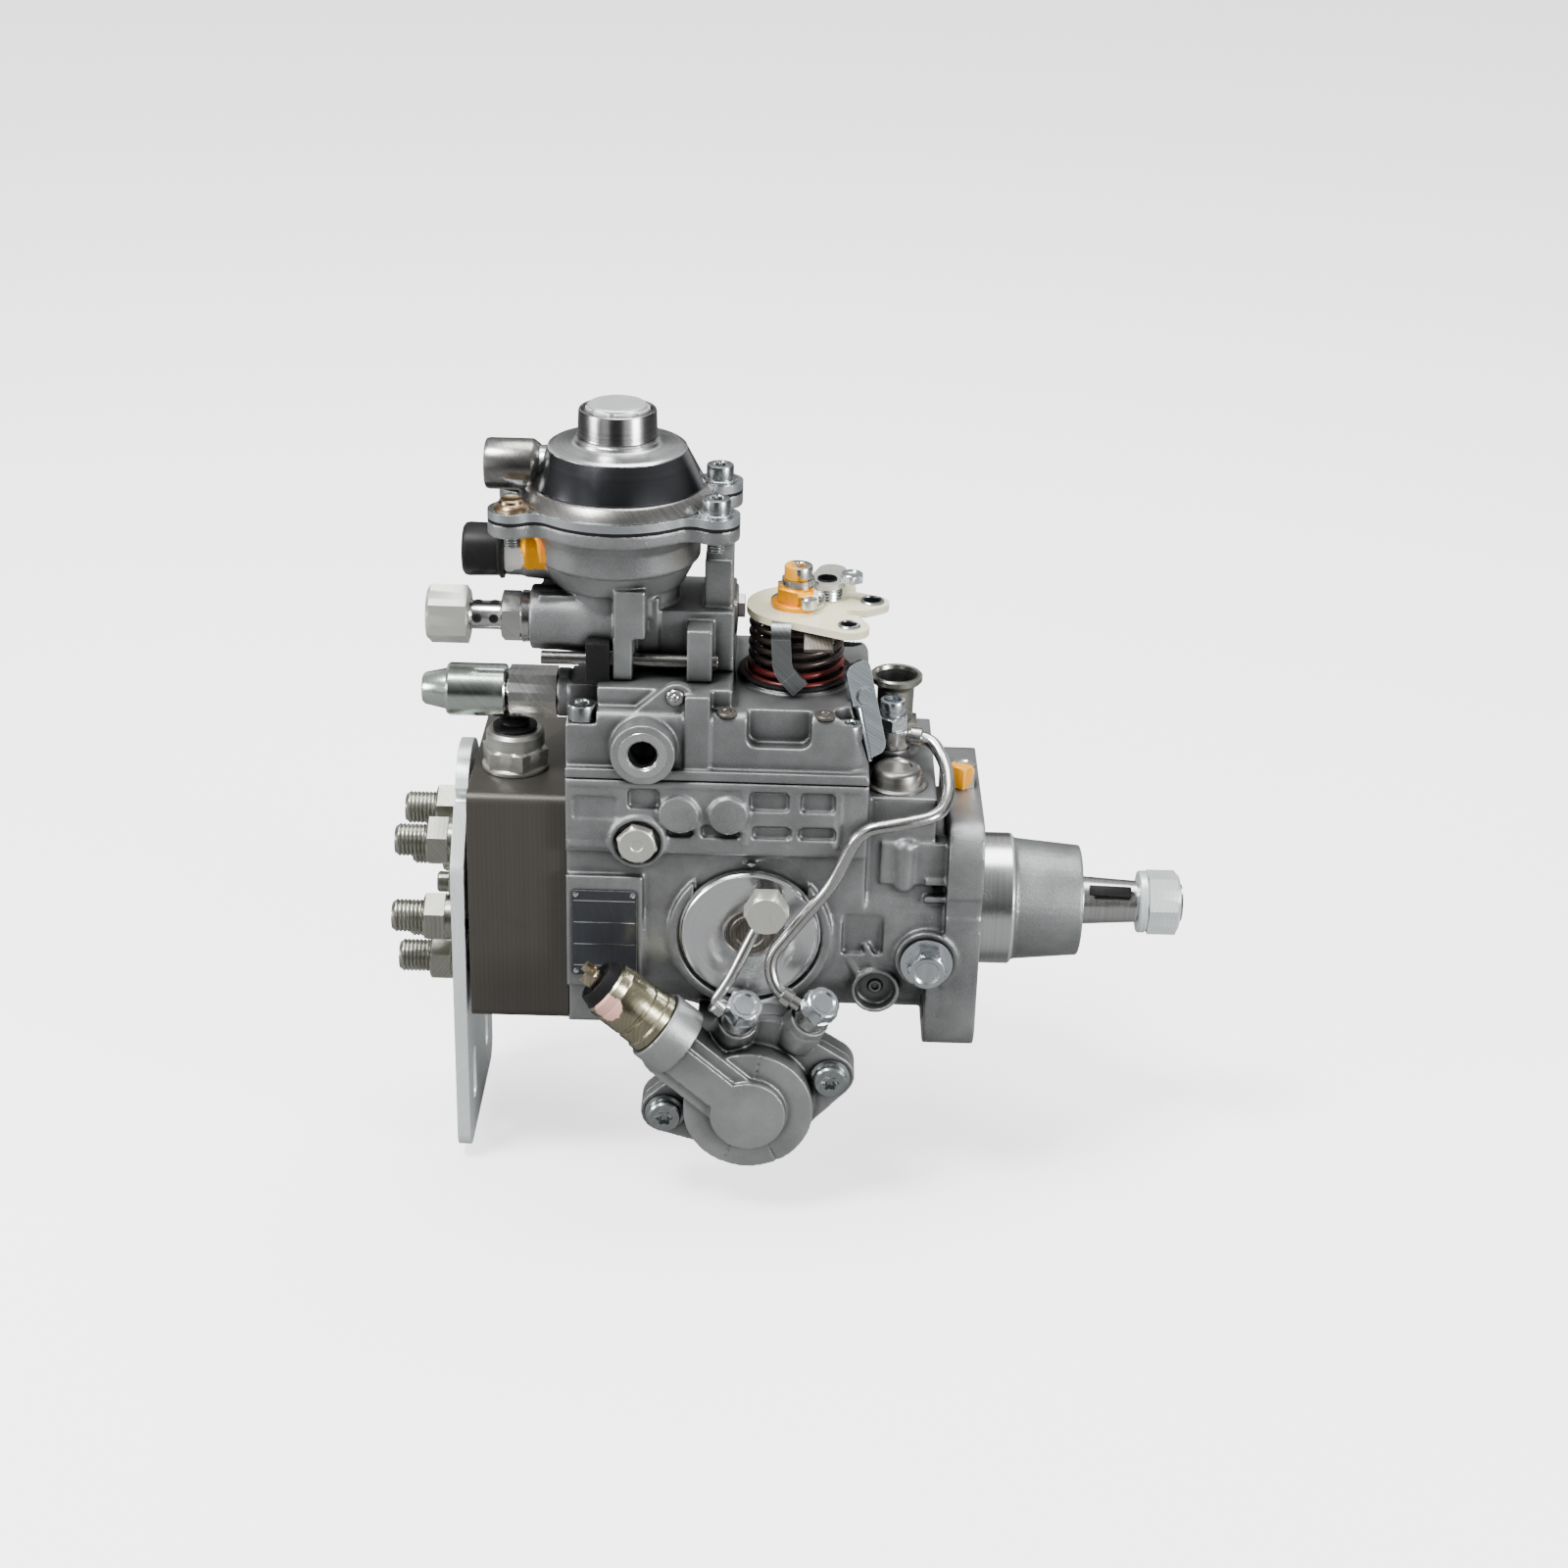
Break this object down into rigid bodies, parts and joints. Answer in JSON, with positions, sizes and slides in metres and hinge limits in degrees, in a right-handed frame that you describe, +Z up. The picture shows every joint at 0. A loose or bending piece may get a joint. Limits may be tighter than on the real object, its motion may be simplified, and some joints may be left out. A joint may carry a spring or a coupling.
{
  "type": "diesel injection pump",
  "caption": "Rotary distributor injection pump with boost compensator, throttle lever, timing device and delivery outlets on the distributor head.",
  "frame": {"origin": "where the drive shaft's axis meets the mounting flange's front face", "axes": "+X along the drive shaft out of the pump towards the engine, +Z up through the compensator, -Y towards the data plate side"},
  "size_m": [0.297, 0.1375, 0.2855],
  "materials": {
    "cast_aluminium": "bead-blasted die-cast aluminium, satin",
    "machined_steel": "turned and ground steel",
    "zinc_steel": "bright bluish zinc plate",
    "dark_steel": "dark oiled steel",
    "chrome_steel": "polished plated steel",
    "yellow_zinc": "yellow passivated zinc",
    "black_plastic": "moulded nylon",
    "spring_steel": "oil-tempered spring wire",
    "plate_black": "anodised foil, blank",
    "rubber_black": "oil-resistant rubber",
    "olive_steel": "olive chromate steel"
  },
  "bodies": {
    "pump_body": {"pump_housing": "cast_aluminium", "governor_cover": "cast_aluminium", "m6_screws": "zinc_steel", "aneroid_housing": "cast_aluminium", "aneroid_cover": "chrome_steel", "aneroid_cap": "chrome_steel", "aneroid_fitting": "chrome_steel", "boost_port_cap": "black_plastic", "vent_union": "olive_steel", "full_load_screw": "olive_steel", "max_speed_screw": "olive_steel", "distributor_head": "dark_steel", "delivery_valve_holders": "olive_steel", "screw_plugs": "zinc_steel", "shutoff_solenoid": "olive_steel", "rear_bracket": "zinc_steel", "timing_cover": "cast_aluminium", "timing_solenoid": "yellow_zinc", "timing_spring_cover": "cast_aluminium", "window_cover": "chrome_steel", "hex_bolts": "zinc_steel", "fuel_pipes": "machined_steel", "return_union": "chrome_steel", "regulating_valve": "machined_steel", "data_plate": "plate_black", "stop_bracket": "zinc_steel", "shaft_seal": "rubber_black", "cam_ring": "machined_steel", "pump_plate": "machined_steel", "governor_spindle": "machined_steel", "plunger_springs": "spring_steel", "throttle_spring": "spring_steel", "governor_spring": "spring_steel", "timing_spring": "spring_steel", "aneroid_spring": "spring_steel", "diaphragm": "rubber_black"},
    "drive_line": {"drive_shaft": "machined_steel", "shaft_key": "machined_steel", "shaft_nut": "zinc_steel", "vane_rotor": "machined_steel", "drive_gear": "machined_steel", "cross_disc": "machined_steel", "cam_plate": "machined_steel", "plunger": "machined_steel"},
    "governor_cage_body": {"governor_cage": "machined_steel"},
    "weight_1": {"flyweight_1": "machined_steel"},
    "weight_2": {"flyweight_2": "machined_steel"},
    "weight_3": {"flyweight_3": "machined_steel"},
    "weight_4": {"flyweight_4": "machined_steel"},
    "sleeve": {"governor_sleeve": "machined_steel"},
    "lever": {"governor_lever": "machined_steel"},
    "collar": {"control_collar": "machined_steel"},
    "throttle": {"throttle_shaft": "machined_steel", "throttle_lever": "zinc_steel", "lever_screws": "zinc_steel"},
    "piston": {"timing_piston": "machined_steel"},
    "rollers": {"roller_ring": "machined_steel", "cam_rollers": "machined_steel"},
    "armature": {"solenoid_plunger": "machined_steel"},
    "boost_pin": {"aneroid_pin": "machined_steel"}
  },
  "joints": [
    {"name": "shaft_spin", "type": "hinge", "parent": "pump_body", "child": "drive_line", "pos_m": [0, 0, 0], "axis": [1, 0, 0], "continuous": true},
    {"name": "governor_spin", "type": "hinge", "parent": "pump_body", "child": "governor_cage_body", "pos_m": [0, 0, 0.0525], "axis": [1, 0, 0], "continuous": true},
    {"name": "sleeve_slide", "type": "slide", "parent": "pump_body", "child": "sleeve", "axis": [-1, 0, 0], "range_m": [0, 0.003]},
    {"name": "weight_swing_1", "type": "hinge", "parent": "governor_cage_body", "child": "weight_1", "pos_m": [-0.064, 0.013, 0.0525], "axis": [0, 0, -1], "range_deg": [0, 24.6]},
    {"name": "weight_swing_2", "type": "hinge", "parent": "governor_cage_body", "child": "weight_2", "pos_m": [-0.064, 0, 0.0655], "axis": [0, 1, 0], "range_deg": [0, 24.6]},
    {"name": "weight_swing_3", "type": "hinge", "parent": "governor_cage_body", "child": "weight_3", "pos_m": [-0.064, -0.013, 0.0525], "axis": [0, 0, 1], "range_deg": [0, 24.6]},
    {"name": "weight_swing_4", "type": "hinge", "parent": "governor_cage_body", "child": "weight_4", "pos_m": [-0.064, 0, 0.0395], "axis": [0, -1, 0], "range_deg": [0, 24.6]},
    {"name": "lever_swing", "type": "hinge", "parent": "pump_body", "child": "lever", "pos_m": [-0.124, 0, 0.03], "axis": [0, -1, 0], "range_deg": [0, 7.7]},
    {"name": "collar_slide", "type": "slide", "parent": "pump_body", "child": "collar", "axis": [1, 0, 0], "range_m": [0, 0.0028]},
    {"name": "throttle_turn", "type": "hinge", "parent": "pump_body", "child": "throttle", "pos_m": [-0.0705, 0, 0.1], "axis": [0, 0, 1], "range_deg": [0, 40], "stiffness_Nm_per_rad": 0.02, "springref_deg": -28.65, "deforming": ["throttle_spring", "governor_spring"]},
    {"name": "timing_slide", "type": "slide", "parent": "pump_body", "child": "piston", "axis": [0, 1, 0], "range_m": [-0.006, 0.006], "deforming": ["timing_spring"]},
    {"name": "roller_ring_turn", "type": "hinge", "parent": "pump_body", "child": "rollers", "pos_m": [0, 0, 0], "axis": [1, 0, 0], "range_deg": [-6, 6]},
    {"name": "armature_slide", "type": "slide", "parent": "pump_body", "child": "armature", "axis": [0, 0, 1], "range_m": [0, 0.002], "stiffness_N_per_m": 500, "springref_m": -0.002},
    {"name": "boost_slide", "type": "slide", "parent": "pump_body", "child": "boost_pin", "axis": [0, 0, -1], "range_m": [0, 0.004], "stiffness_N_per_m": 1000, "springref_m": -0.002, "deforming": ["aneroid_spring", "diaphragm"]}
  ],
  "couplings": [
    {"joint": "governor_spin", "follows": "shaft_spin", "ratio": -1.5926},
    {"joint": "weight_swing_1", "follows": "sleeve_slide", "rad_per_m": 142.86},
    {"joint": "weight_swing_2", "follows": "sleeve_slide", "rad_per_m": 142.86},
    {"joint": "weight_swing_3", "follows": "sleeve_slide", "rad_per_m": 142.86},
    {"joint": "weight_swing_4", "follows": "sleeve_slide", "rad_per_m": 142.86},
    {"joint": "lever_swing", "follows": "sleeve_slide", "rad_per_m": 44.444},
    {"joint": "collar_slide", "follows": "sleeve_slide", "ratio": 0.93333},
    {"joint": "roller_ring_turn", "follows": "timing_slide", "rad_per_m": 17.331}
  ]
}
